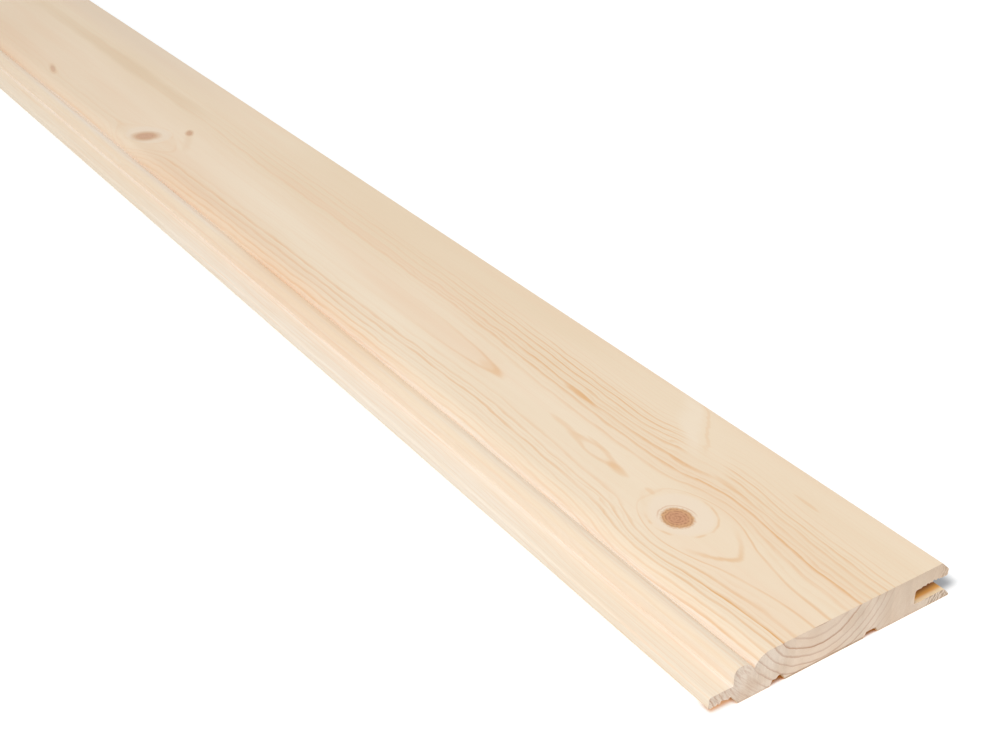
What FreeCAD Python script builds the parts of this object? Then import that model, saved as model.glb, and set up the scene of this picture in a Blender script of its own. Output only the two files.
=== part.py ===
import FreeCAD, Part
import math
import os

# Tongue and groove lining board with a beaded edge.
# Sizes in mm. X runs across the board from tongue to groove, Y along it, Z from its back to its face.

# Stock
LENGTH = 900.0              # cut length
THICKNESS = 14.0            # back to face
COVER_WIDTH = 84.5          # shoulder of the tongue to nose of the upper lip: what one board covers
ARRIS = 0.3                 # easing of the planed outer edges

# Tongue
TONGUE_LENGTH = 8.6         # shoulder to tip
TONGUE_THICKNESS = 4.0
TONGUE_ROUND = 0.9          # upper corner of the tip
TONGUE_EASE = 0.5           # lower corner of the tip

# Groove, sized from the tongue that goes into it
LIP_THICKNESS = 3.2         # lower lip, from the back to the floor of the groove
PLAY_UNDER = 0.1            # clearance between a tongue and the floor of the groove
PLAY_OVER = 1.1             # clearance between a tongue and the roof of the groove
GROOVE_SPARE = 5.0          # room past the tip of a seated tongue
GROOVE_CORNER = 0.8         # inside corners left by the cutter
MOUTH_EASE = 0.4            # rounding of the two edges of the mouth

# End of the lower lip, and the wall under the tongue that a neighbour's lip comes up to
LIP_SETBACK = 0.4           # top edge of the lip's end, behind the nose
LIP_OVERHANG = 1.9          # toe of the lip, past the nose
LIP_TOE = 0.6               # height of the square toe
BACK_GAP = 0.2              # clearance between a neighbour's toe and the wall

# Bead beside the tongue, its quirk, and the rounded flank up to the face
BEAD_DROP = 0.9             # crown of the bead below the face
BEAD_NEAR_RADIUS = 2.2      # side of the bead towards the tongue
BEAD_FAR_RADIUS = 5.9       # side of the bead towards the quirk
QUIRK_DEPTH = 3.7           # below the face
QUIRK_FLAT = 0.2            # width of the quirk's floor
FLANK_RADIUS = 5.9

# Bevel of the upper lip, which makes a V with the bead of the next board
LIP_BEVEL = 3.2

# Relief grooves along the back
RELIEF_COUNT = 2
RELIEF_FIRST = 16.9         # shoulder to the centre of the first groove
RELIEF_PITCH = 36.6
RELIEF_MOUTH = 5.9
RELIEF_FLOOR = 4.0
RELIEF_DEPTH = 2.0

# Heights that follow
tongue_low = LIP_THICKNESS + PLAY_UNDER
tongue_top = tongue_low + TONGUE_THICKNESS
groove_roof = tongue_top + PLAY_OVER
bead_top = THICKNESS - BEAD_DROP
quirk = THICKNESS - QUIRK_DEPTH

# Distances across the board that follow, counted from the shoulder
tip = -TONGUE_LENGTH
nose = COVER_WIDTH
toe = nose + LIP_OVERHANG
groove_end = nose - TONGUE_LENGTH - GROOVE_SPARE
far_drop = BEAD_FAR_RADIUS - (bead_top - quirk)
bead_end = BEAD_NEAR_RADIUS + math.sqrt(BEAD_FAR_RADIUS ** 2 - far_drop ** 2)
flank_start = bead_end + QUIRK_FLAT
flank_drop = FLANK_RADIUS - QUIRK_DEPTH
flank_end = flank_start + math.sqrt(FLANK_RADIUS ** 2 - flank_drop ** 2)

# The board's origin is midway across its whole width
middle = (tip + toe) / 2.0


def at(x, z):
    """Point of the section, x counted from the shoulder."""
    return FreeCAD.Vector(x - middle, -LENGTH / 2.0, z)


def on_circle(centre_x, centre_z, radius, degrees):
    """Point of a round of the section; 0 degrees is towards the groove, 90 is up."""
    turn = math.radians(degrees)
    return at(centre_x + radius * math.cos(turn), centre_z + radius * math.sin(turn))


def corner(x, z, ease=0.0, via=None):
    """Corner of the outline, eased by a radius, with a point that the round after it passes through."""
    return {"point": at(x, z), "ease": ease, "via": via}


def ease_corner(before, here, after):
    """Where the easing of a corner starts, its middle and where it ends."""
    point, radius = here["point"], here["ease"]
    if radius == 0.0:
        return point, None, point
    back = (before["point"] - point).normalize()
    forth = (after["point"] - point).normalize()
    half = back.getAngle(forth) / 2.0
    run = radius / math.tan(half)
    inward = (back + forth).normalize()
    reach = radius / math.sin(half) - radius
    return point + back * run, point + inward * reach, point + forth * run


def outline(corners):
    """Closed wire through the corners: straight lines, rounds and eased corners."""
    count = len(corners)
    eased = [ease_corner(corners[i - 1], corners[i], corners[(i + 1) % count]) for i in range(count)]
    edges = []
    for i in range(count):
        start, finish = eased[i][2], eased[(i + 1) % count][0]
        via = corners[i]["via"]
        if via is None:
            edges.append(Part.LineSegment(start, finish).toShape())
        else:
            edges.append(Part.Arc(start, via, finish).toShape())
        begin, mid, end = eased[(i + 1) % count]
        if mid is not None:
            edges.append(Part.Arc(begin, mid, end).toShape())
    return Part.Wire(edges)


# Tongue, from the wall under it round the tip to the shoulder
tongue = [
    corner(BACK_GAP + LIP_OVERHANG, 0.0, ARRIS),
    corner(BACK_GAP + LIP_OVERHANG, LIP_TOE),
    corner(BACK_GAP - LIP_SETBACK, tongue_low),
    corner(tip, tongue_low, TONGUE_EASE),
    corner(tip, tongue_top, TONGUE_ROUND),
    corner(0.0, tongue_top),
]

# Bead: two quarter-like rounds that meet level at the crown, then the quirk and the flank
near_centre = (BEAD_NEAR_RADIUS, bead_top - BEAD_NEAR_RADIUS)
far_centre = (BEAD_NEAR_RADIUS, bead_top - BEAD_FAR_RADIUS)
flank_centre = (flank_end, THICKNESS - FLANK_RADIUS)
far_turn = math.degrees(math.asin(far_drop / BEAD_FAR_RADIUS))
flank_turn = 180.0 - math.degrees(math.asin(flank_drop / FLANK_RADIUS))
bead = [
    corner(0.0, near_centre[1], via=on_circle(*near_centre, BEAD_NEAR_RADIUS, 135.0)),
    corner(BEAD_NEAR_RADIUS, bead_top, via=on_circle(*far_centre, BEAD_FAR_RADIUS, (90.0 + far_turn) / 2.0)),
    corner(bead_end, quirk),
    corner(flank_start, quirk, via=on_circle(*flank_centre, FLANK_RADIUS, (flank_turn + 90.0) / 2.0)),
    corner(flank_end, THICKNESS),
]

# Upper lip, groove and lower lip
lips = [
    corner(nose - LIP_BEVEL, THICKNESS, ARRIS),
    corner(nose, THICKNESS - LIP_BEVEL, ARRIS),
    corner(nose, groove_roof, MOUTH_EASE),
    corner(groove_end, groove_roof, GROOVE_CORNER),
    corner(groove_end, LIP_THICKNESS, GROOVE_CORNER),
    corner(nose - LIP_SETBACK, LIP_THICKNESS, MOUTH_EASE),
    corner(toe, LIP_TOE),
    corner(toe, 0.0, ARRIS),
]

# Back, walked from the groove side to the tongue side, with its relief grooves
back = []
for number in reversed(range(RELIEF_COUNT)):
    centre = RELIEF_FIRST + number * RELIEF_PITCH
    back += [
        corner(centre + RELIEF_MOUTH / 2.0, 0.0),
        corner(centre + RELIEF_FLOOR / 2.0, RELIEF_DEPTH),
        corner(centre - RELIEF_FLOOR / 2.0, RELIEF_DEPTH),
        corner(centre - RELIEF_MOUTH / 2.0, 0.0),
    ]

section = Part.Face(outline(tongue + bead + lips + back))
board = section.extrude(FreeCAD.Vector(0.0, LENGTH, 0.0))

os.makedirs("parts", exist_ok=True)
board.exportStep("parts/board.step")

box = board.BoundBox
print("board: %.2f x %.2f x %.2f mm, %.1f cm3, valid %s"
      % (box.XLength, box.YLength, box.ZLength, board.Volume / 1000.0, board.isValid()))
print("overall width %.2f, shoulder at %.2f, nose at %.2f, groove %.2f high and %.2f deep"
      % (toe - tip, -middle, nose - middle, groove_roof - LIP_THICKNESS, nose - groove_end))
print("bead ends at %.2f, face starts at %.2f" % (bead_end - middle, flank_end - middle))
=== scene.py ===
# %% [markdown]
# # A beaded tongue and groove board
#
# The object is one length of planed pine: a tongue along one edge, a groove along the other, a bead
# beside the tongue and two relief grooves along the back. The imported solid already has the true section.
# What it lacks is the timber: growth rings that agree on the face and on the sawn end, knots with the
# grain flowing round them, and edges that a saw and a planer have left. Those are made here.

import math

import bmesh
import bpy
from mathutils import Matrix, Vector, noise


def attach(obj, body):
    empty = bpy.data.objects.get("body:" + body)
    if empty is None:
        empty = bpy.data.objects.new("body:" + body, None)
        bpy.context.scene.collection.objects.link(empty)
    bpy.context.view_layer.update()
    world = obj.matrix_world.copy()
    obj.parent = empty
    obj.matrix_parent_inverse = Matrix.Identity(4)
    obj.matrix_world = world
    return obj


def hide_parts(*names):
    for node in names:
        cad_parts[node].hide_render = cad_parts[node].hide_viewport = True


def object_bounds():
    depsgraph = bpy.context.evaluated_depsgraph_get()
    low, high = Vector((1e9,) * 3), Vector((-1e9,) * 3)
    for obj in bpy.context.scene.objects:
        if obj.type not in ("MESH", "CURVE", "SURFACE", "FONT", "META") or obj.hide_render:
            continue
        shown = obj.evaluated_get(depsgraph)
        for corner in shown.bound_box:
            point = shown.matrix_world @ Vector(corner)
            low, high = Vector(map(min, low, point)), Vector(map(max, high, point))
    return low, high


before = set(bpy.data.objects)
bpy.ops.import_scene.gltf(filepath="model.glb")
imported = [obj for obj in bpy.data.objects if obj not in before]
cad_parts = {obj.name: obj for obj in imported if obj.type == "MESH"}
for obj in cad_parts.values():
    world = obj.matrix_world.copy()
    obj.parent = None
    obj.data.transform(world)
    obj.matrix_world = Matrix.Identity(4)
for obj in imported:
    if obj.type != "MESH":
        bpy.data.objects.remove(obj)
cad_low, cad_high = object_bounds()
board_size = cad_high - cad_low
print("solid measures, in mm:", [round(side * 1000, 2) for side in board_size])

# %% [markdown]
# ## The blank
#
# The planed blank could be drawn again from its section, but then the section would be written down
# twice. A merged copy of the solid's own mesh keeps every edge where it is. Its triangles are dissolved
# into clean faces first, so that the cuts which follow run straight.

# %% Copy the solid and clean it
SAME_POINT = 1e-6
SAME_PLANE = math.radians(0.5)

blank = bmesh.new()
blank.from_mesh(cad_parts["board"].data)
bmesh.ops.remove_doubles(blank, verts=blank.verts[:], dist=SAME_POINT)
bmesh.ops.dissolve_limit(blank, angle_limit=SAME_PLANE, verts=blank.verts[:], edges=blank.edges[:])
print("blank:", len(blank.verts), "vertices,", len(blank.faces), "faces")

# %% [markdown]
# ## The section
#
# The planer's cutters give the board one outline from end to end. That outline is read once, from corner
# to corner round the near end, instead of being typed in. The length along it later lays the board's
# surface out flat, like a veneer peeled off it, so that the finish can be baked evenly.

# %% Walk round the section
FACES_THE_END = 0.99

near_end = next(face for face in blank.faces if face.normal.y < -FACES_THE_END)
section = [Vector((corner.co.x, corner.co.z)) for corner in near_end.verts]
girth = sum((section[i] - section[i - 1]).length for i in range(len(section)))
print("section:", len(section), "corners,", round(girth * 1000, 1), "mm round")

# %% [markdown]
# ## Cuts across and along
#
# A planed surface is never dead straight, and a sawn edge breaks up in small chips. Both need points to
# move. Subdividing every face would give slivers on the bead and too few points on the face, so the blank
# is cut with planes, as a band saw would: into narrow strips along the grain and into short lengths.

# %% Cut the blank into strips and lengths
STRIP = 0.0015
LENGTH_OF_CUT = 0.0125
ON_PLANE = 1e-7
ACROSS = Vector((1.0, 0.0, 0.0))
ALONG = Vector((0.0, 1.0, 0.0))


def everything(solid):
    return solid.verts[:] + solid.edges[:] + solid.faces[:]


def slice_at(solid, parts, place, normal):
    """Cuts the given parts of the solid with one plane, and returns them with the new ones."""
    made = bmesh.ops.bisect_plane(solid, geom=parts, dist=ON_PLANE, plane_co=place, plane_no=normal)
    return made["geom"]


def cut(solid, normal, low, high, pitch):
    """Cuts right through the solid with evenly spaced planes."""
    count = max(1, round((high - low) / pitch))
    for i in range(1, count):
        slice_at(solid, everything(solid), normal * (low + (high - low) * i / count), normal)


cut(blank, ACROSS, cad_low.x, cad_high.x, STRIP)
cut(blank, ALONG, cad_low.y, cad_high.y, LENGTH_OF_CUT)
print("after the cuts:", len(blank.verts), "vertices,", len(blank.faces), "faces")

# %% [markdown]
# ## Torn fibres
#
# The saw tears fibres where an edge has nothing behind it: under the tongue, in the first relief groove
# and at the roof of the groove. Loose hairs could be modelled there one by one, but the tears are ragged
# steps in the wood itself. So a chisel-thin slice at each end is cut into slivers, and the slivers are
# lifted later.

# %% Slice the edges that will tear
MILLIMETRE = 0.001
TEAR_LENGTH = 0.0012
SLIVER = 0.00045
# Where fibres tear, in millimetres: from and to across the board, then from and to up from the back.
TORN_EDGES = [(1.8, 9.2, 3.1, 3.8), (15.5, 32.0, 1.7, 2.5), (82.0, 90.5, 8.2, 8.9)]


def in_end_slices(parts, points):
    """Those of the parts that lie wholly in the thin slice at either end."""
    thick = TEAR_LENGTH + SAME_POINT
    return [part for part in parts if all(cad_high.y - abs(p.co.y) < thick for p in points(part))]


for side in (-1, 1):
    slice_at(blank, everything(blank), ALONG * (side * (cad_high.y - TEAR_LENGTH)), ALONG)
slice_parts = in_end_slices(blank.verts, lambda v: [v])
slice_parts += in_end_slices(blank.edges, lambda e: e.verts)
slice_parts += in_end_slices(blank.faces, lambda f: f.verts)
for across_from, across_to, low, high in TORN_EDGES:
    count = round((across_to - across_from) * MILLIMETRE / SLIVER)
    for i in range(count + 1):
        place = cad_low.x + (across_from + (across_to - across_from) * i / count) * MILLIMETRE
        slice_parts = slice_at(blank, slice_parts, ACROSS * place, ACROSS)
print("with slivers:", len(blank.verts), "vertices,", len(blank.faces), "faces")

# %% [markdown]
# ## Sawn ends
#
# A fine saw leaves the end flat, and its rim slightly broken: fibres give way at the edge. A bevel would
# make that rim even, as if it had been sanded. Here the rim is an inset of the end faces, and its outer
# ring is drawn back a little along the board, unevenly, which makes a small rough chamfer. Noise from a
# fixed field does this, so the board comes out the same each time.

# %% Break the rims of the two ends
RIM = 0.00022
RIM_BACK = RIM * 0.55
CHIP = 0.00016
LEAST_CHIP = 0.00004
COARSE_CHIPS = 900.0
FINE_CHIPS = 2600.0
FINE_SHARE = 0.6


def end_faces(solid, side):
    """Faces of one sawn end; side is -1 for the near end and 1 for the far one."""
    plane = cad_low.y if side < 0 else cad_high.y
    facing = [face for face in solid.faces if face.normal.y * side > FACES_THE_END]
    return [face for face in facing if abs(face.calc_center_median().y - plane) < SAME_POINT]


def rim_corners(ends):
    """Corners of the end faces' outer edges."""
    edges = {edge for face in ends for edge in face.edges}
    outer = [edge for edge in edges if any(face not in ends for face in edge.link_faces)]
    return {corner for edge in outer for corner in edge.verts}


for side in (-1, 1):
    ends = end_faces(blank, side)
    outer = rim_corners(ends)
    bmesh.ops.inset_region(blank, faces=ends, thickness=RIM, use_even_offset=True)
    for corner in outer:
        rough = noise.noise(corner.co * COARSE_CHIPS) + FINE_SHARE * noise.noise(corner.co * FINE_CHIPS)
        corner.co.y -= side * max(LEAST_CHIP, RIM_BACK + CHIP * rough)
    print("end", side, "has", len(ends), "faces and", len(outer), "rim corners")

# %% [markdown]
# Now the slivers are lifted by uneven amounts, into the wood, which leaves a ragged edge. A bump in the
# finish would not do: these edges are seen from the side, where only a real step shows.

# %% Lift the slivers
TEAR = 0.0009
TEAR_USUAL = 0.4
TEAR_VARIES = 1.4
SLIVERS_APART = 1700.0

torn_corners = 0
for corner in blank.verts:
    across = (corner.co.x - cad_low.x) / MILLIMETRE
    up = (corner.co.z - cad_low.z) / MILLIMETRE
    at_end = cad_high.y - abs(corner.co.y) < TEAR_LENGTH * 0.5
    if at_end and any(a < across < b and low < up < high for a, b, low, high in TORN_EDGES):
        ragged = noise.noise(Vector((corner.co.x * SLIVERS_APART, corner.co.y * 3.0, 0.5)))
        corner.co.z += TEAR * min(1.0, max(0.0, TEAR_USUAL + TEAR_VARIES * ragged))
        torn_corners += 1
print("torn corners:", torn_corners)

# %% [markdown]
# ## Planer waves
#
# A planer head takes many small bites, and timber moves a little afterwards. A Displace modifier could
# show that, but it would also push the surface outwards. Here each point is lowered by a few hundredths
# of a millimetre in long soft waves. The moves only go inwards, so the board keeps its size.

# %% Let the surface move a little
WAVE = 0.00004
WAVES_ACROSS = 40.0
WAVES_ALONG = 14.0
ENDS_KEPT = 0.001

blank.normal_update()
moved = 0
for corner in blank.verts:
    if abs(corner.co.y) < cad_high.y - ENDS_KEPT:
        place = Vector((corner.co.x * WAVES_ACROSS, corner.co.y * WAVES_ALONG, corner.co.z * WAVES_ACROSS))
        corner.co -= corner.normal * WAVE * (0.5 + 0.5 * noise.noise(place))
        moved += 1
print("points moved:", moved, "by up to", WAVE / MILLIMETRE, "mm")

# %% [markdown]
# ## Smooth rounds, sharp arrises
#
# Flat faces meet at sharp arrises and the rounds of the bead are smooth. Shading by object would blur the
# one or facet the other, so faces are shaded smooth and only edges that turn by more than a set angle
# stay sharp. The ends wear their own finish, because sawn end grain drinks light where the planed face
# returns it.

# %% Choose smooth and sharp edges
SHARP = math.radians(28.0)
PLANED = 0
SAWN = 1

blank.normal_update()
for face in blank.faces:
    face.smooth = True
    face.material_index = SAWN if abs(face.normal.y) > 0.5 else PLANED
for edge in blank.edges:
    one_finish = len({face.material_index for face in edge.link_faces}) == 1
    edge.smooth = one_finish and len(edge.link_faces) == 2 and edge.calc_face_angle(0.0) < SHARP
print("sharp edges:", sum(not edge.smooth for edge in blank.edges))

# %% [markdown]
# ## A flat map of the surface
#
# The baked finish needs a flat map. An automatic unwrap would scatter a long board in many islands. Its
# long sides are instead unrolled by their length round the section and cut once in the middle of the
# board, with more room for the face than for the back. The two ends lie beside them.

# %% Share out the map round the section
FACE_ROOM = 1.8
BACK_ROOM = 0.9
EDGE_ROOM = 0.7
BACK_LEVEL = 0.001
FACE_LEVEL = 0.0085
TONGUE_LEVEL = 0.0035


def room(a, b):
    """How much of the map a stretch of the section gets for each metre of its length."""
    run = b - a
    lower = min(a.y, b.y)
    if abs(run.x) < abs(run.y):
        return EDGE_ROOM
    if lower < BACK_LEVEL:
        return BACK_ROOM
    return FACE_ROOM if run.x > 0.0 or lower > FACE_LEVEL else EDGE_ROOM


start = min(range(len(section)), key=lambda i: section[i].x + abs(section[i].y - TONGUE_LEVEL))
ring = section[start:] + section[:start]
walked = [0.0]
for a, b in zip(ring, ring[1:] + ring[:1]):
    walked.append(walked[-1] + room(a, b) * (b - a).length)


def round_section(x, z):
    """Where a point lies round the section, from 0 to 1."""
    point = Vector((x, z))
    best = (1.0, 0.0)
    for i, a in enumerate(ring):
        run = ring[(i + 1) % len(ring)] - a
        t = min(1.0, max(0.0, (point - a).dot(run) / run.length_squared))
        best = min(best, ((a + run * t - point).length, walked[i] + (walked[i + 1] - walked[i]) * t))
    return best[1] / walked[-1]


print("map: room for", round(walked[-1] / MILLIMETRE, 1), "mm round a section of",
      round(girth / MILLIMETRE, 1), "mm")

# %% [markdown]
# Each corner of each face now gets its place on the map. A face that crosses the start of the walk is
# kept whole, by counting its last corners past 1 and not from 0 again. The map has its own name, so that
# the bake finds it.

# %% Lay the surface out flat
SIDES_SHARE = 0.91
GAP = 0.004
NO_GAPS = 1.0 - 2.0 * GAP

flat = blank.loops.layers.uv.new("OFBake")
known = {}


def lay_end(face, half):
    """Puts a face of an end in the strip beside the long sides."""
    for loop in face.loops:
        across = (loop.vert.co.x - cad_low.x) / board_size.x
        up = (loop.vert.co.z - cad_low.z) / board_size.z
        u = half * 0.5 + GAP + across * (0.5 - 2.0 * GAP)
        loop[flat].uv = (u, SIDES_SHARE + GAP + up * (1.0 - SIDES_SHARE - 2.0 * GAP))


def lay_side(face, half):
    """Unrolls a face of the long sides; half is 0 for the near half of the board and 1 for the far one."""
    places = []
    for loop in face.loops:
        key = (round(loop.vert.co.x, 5), round(loop.vert.co.z, 5))
        if key not in known:
            known[key] = round_section(loop.vert.co.x, loop.vert.co.z)
        places.append(known[key])
    wraps = max(places) - min(places) > 0.5
    starts = 0.0 if half else cad_low.y
    for loop, place in zip(face.loops, places):
        place = place + 1.0 if wraps and place < 0.5 else place
        along = (loop.vert.co.y - starts) / (board_size.y / 2.0)
        loop[flat].uv = (GAP + along * NO_GAPS, (half + GAP + place * NO_GAPS) * SIDES_SHARE / 2.0)


for face in blank.faces:
    half = 0 if face.calc_center_median().y < 0.0 else 1
    lay = lay_end if face.material_index == SAWN else lay_side
    lay(face, half)
print("map: laid", len(blank.faces), "faces from", len(known), "places round the section")

# %% [markdown]
# ## The board as an object
#
# Until now the board was a bmesh, which Blender doesn't draw. It becomes a mesh and an object, which
# rides on the frame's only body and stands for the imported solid. Its place is in its mesh, and the object
# stays at the origin.

# %% Make the object
mesh = bpy.data.meshes.new("pine_board")
blank.to_mesh(mesh)
blank.free()
board = bpy.data.objects.new("pine_board", mesh)
bpy.context.collection.objects.link(board)
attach(board, "root")
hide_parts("board")
print("board:", len(mesh.polygons), "faces")

# %% [markdown]
# ## Writing shader sums in Python
#
# A finish is a web of nodes. Written node by node it hides the idea, so one small class wraps a socket
# and lets ordinary sums add the Math nodes. It also knows which web it belongs to.


# %% A value that can be reckoned with
class Value:
    """One number that changes over a surface. Sums and products of it add Math nodes."""

    def __init__(self, web, socket):
        self.web = web
        self.socket = socket

    def math(self, operation, *others):
        inputs = dict(enumerate((self,) + others))
        return self.web.node("ShaderNodeMath", {"operation": operation}, inputs)

    def __add__(self, other):
        return self.math("ADD", other)

    def __sub__(self, other):
        return self.math("SUBTRACT", other)

    def __rsub__(self, other):
        return self.math("MULTIPLY_ADD", -1.0, other)

    def __mul__(self, other):
        return self.math("MULTIPLY", other)

    def __truediv__(self, other):
        return self.math("DIVIDE", other)

    def __rtruediv__(self, other):
        return self.math("POWER", -1.0) * other

    __radd__ = __add__
    __rmul__ = __mul__


# %% [markdown]
# Everything else in a finish comes from one method: it takes a node's kind, its settings and what its
# sockets get, either a plain number or a link. A few kinds are needed so often that they have short
# methods of their own. The studio's sky is a web of nodes too, so a web knows nothing of materials yet.


# %% A web of nodes
class Web:
    """A node tree in the making."""

    def __init__(self, tree):
        self.tree = tree

    def feed(self, socket, value):
        if isinstance(value, Value):
            self.tree.links.new(value.socket, socket)
        else:
            socket.default_value = value

    def node(self, kind, settings=None, inputs=None, output=0):
        """Makes any node: its settings first, then its sockets. Gives one of its outputs, if it has any."""
        made = self.tree.nodes.new(kind)
        for key, value in (settings or {}).items():
            if key == "curve":
                self.draw_curve(made.mapping, value)
            else:
                setattr(made, key, value)
        for key, value in (inputs or {}).items():
            self.feed(made.inputs[key], value)
        return Value(self, made.outputs[output]) if made.outputs else None

    def draw_curve(self, mapping, points):
        """A new curve already has its two ends, which are moved. The points between are added."""
        line = mapping.curves[0]
        line.points[0].location = points[0]
        line.points[1].location = points[-1]
        for place in points[1:-1]:
            line.points.new(*place)
        mapping.update()

    def step(self, value, low, high):
        """Rises softly from 0 at low to 1 at high."""
        inputs = {"Value": value, "From Min": low, "From Max": high}
        return self.node("ShaderNodeMapRange", {"interpolation_type": "SMOOTHSTEP"}, inputs)

    def stretch(self, value, starts, full, fades=None, ends=None):
        """Rises from 0 where a stretch starts to 1 where it is full, and may fade again to its end."""
        rise = self.step(value, starts, full)
        return rise if fades is None else rise * self.step(value, ends, fades)

    def vector(self, x, y, z):
        return self.node("ShaderNodeCombineXYZ", None, {0: x, 1: y, 2: z})

    def cloud(self, place, detail=2.0, roughness=0.5):
        """Soft noise between 0 and 1."""
        inputs = {"Vector": place, "Scale": 1.0, "Detail": detail, "Roughness": roughness}
        return self.node("ShaderNodeTexNoise", None, inputs)

    def mix(self, factor, a, b):
        """Colour between a and b."""
        settings = {"data_type": "RGBA", "blend_type": "MIX", "clamp_factor": True}
        return self.node("ShaderNodeMix", settings, {0: factor, 6: a, 7: b}, 2)

    def drawn(self, value, points, low, high):
        """A value read off a curve through the points; low and high bound the curve's height."""
        first = points[0][0]
        last = points[-1][0]
        unit = [((x - first) / (last - first), (y - low) / (high - low)) for x, y in points]
        along = (value - first) * (1.0 / (last - first))
        return self.node("ShaderNodeFloatCurve", {"curve": unit}, {"Value": along}) * (high - low) + low


class Finish(Web):
    """A material in the making."""

    def __init__(self, name):
        self.material = bpy.data.materials.new(name)
        self.material.use_nodes = True
        super().__init__(self.material.node_tree)
        self.shader = self.tree.nodes["Principled BSDF"].inputs


# %% [markdown]
# ## Where a point lies
#
# A finish has to know where on the board it is. Generated coordinates would stretch with the box, so it
# reads Object coordinates and turns them into millimetres: across from the tip of the tongue, along from
# the near end, and up from the back. A patch is then a soft-edged part of the board, such as the bead's
# crest near one end.


# %% Places in millimetres
class Place:
    """Where each point of a surface lies on the board."""

    def __init__(self, finish):
        self.finish = finish
        spot = finish.node("ShaderNodeTexCoord", None, None, "Object")
        axes = [finish.node("ShaderNodeSeparateXYZ", None, {0: spot}, i) for i in range(3)]
        self.x, self.y, self.z = [(axes[i] - cad_low[i]) * (1.0 / MILLIMETRE) for i in range(3)]
        self.spot = finish.vector(self.x, self.y, self.z)

    def patch(self, across=None, along=None, up=None):
        """1 in a patch and 0 outside it. Each side has two places, where it starts and is full, or four."""
        limits = [(self.x, across), (self.y, along), (self.z, up)]
        inside = [self.finish.stretch(value, *places) for value, places in limits if places]
        whole = inside[0]
        for part in inside[1:]:
            whole = whole * part
        return whole

    def cloud(self, across, along, detail=2.0, roughness=0.5, shift=(0.0, 0.0, 0.0)):
        """Noise drawn out along the grain: across and along say how fast it changes over a millimetre."""
        inputs = {0: self.spot, 1: (across, along, across), 2: shift}
        place = self.finish.node("ShaderNodeVectorMath", {"operation": "MULTIPLY_ADD"}, inputs)
        return self.finish.cloud(place, detail, roughness)


print("places are counted from", [round(side / MILLIMETRE, 2) for side in cad_low], "mm")

# %% [markdown]
# ## Pine, grown and not painted
#
# Grain that is drawn on each side separately never meets at the arrises. Here the tree is grown first:
# the rings are distances from its heart, a line that runs above the board's face, and the board is sawn
# out of it. The flames on the face, the stripes beside them and the bows on the sawn end then all come
# from the same rings.

# %% The heart of the tree
# The face above the back, the first ring's distance from the heart, and the rings' usual width.
FACE = 14.0
FIRST_RING = 22.3
RING_WIDTH = 2.3
# Going down from the face, distances count for less at first. The outer rings lie closer together.
DEEP_RINGS = 0.55
CLOSER_BELOW = 0.012
OUTER_RINGS = 37.0
OUTER_CLOSER = 0.012

# Height of the heart above the face, and its place across, at distances along the board.
HEART_HEIGHT = [
    (0, 21.95), (15, 21.85), (30, 21.5), (62, 21.5), (74, 21.95), (80, 22.36), (86, 22.34),
    (92, 22.24), (98, 22.13), (106, 22.04), (112, 22.1), (120, 22.2), (134, 22.28), (142, 22.36),
    (152, 22.38), (161, 22.28), (168, 22.15), (178, 21.95), (195, 21.65), (260, 21.35), (330, 21.0),
    (420, 20.5), (500, 19.8), (600, 18.7), (700, 17.6), (800, 16.2), (900, 15.0),
]
HEART_ACROSS = [
    (0, 40.9), (60, 41.3), (112, 41.7), (160, 43.2), (300, 43.4), (420, 42.6), (600, 43.0), (900, 44.0),
]

# How wide the rings grew along the board, as a share of the usual width.
RING_GROWTH = [(0, 1.0), (60, 0.98), (110, 0.86), (160, 0.86), (250, 0.97), (400, 1.05), (900, 1.15)]

# How strongly a ring's latewood shows, by its distance from the heart.
RING_STRENGTH = [
    (14, 0.6), (20, 0.6), (22.3, 0.6), (24.6, 0.45), (26.9, 1.0), (29.2, 0.6), (31.5, 0.65), (33.8, 0.8),
    (36.1, 0.65), (40, 0.5), (50, 0.8), (64, 0.9),
]
print("heart: from", HEART_HEIGHT[0][1], "to", HEART_HEIGHT[-1][1], "mm above the face")

# %% [markdown]
# A knot is the foot of a branch: a leaning cone that runs through the timber. It could be a decal on the
# face, but then it would miss the back. The grain parts before it and closes behind it, in an eye with
# pointed ends. Each knot is written as a few measures, so another one is easily added.


# %% The knots
class Knot:
    """A branch cut through by the face. Half widths, the eye's reach and all places are in millimetres."""

    def __init__(self, place, half, skew, eye, eye_shift, lean, tone, blur, eye_line):
        self.across, self.along = place
        self.half_across, self.half_along = half
        self.skew = skew
        self.eye_half, self.eye_reach = eye
        self.eye_across, self.eye_along = eye_shift
        self.lean_across, self.lean_along = lean
        self.tone = tone
        self.blur = blur
        self.eye_line = eye_line


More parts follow.
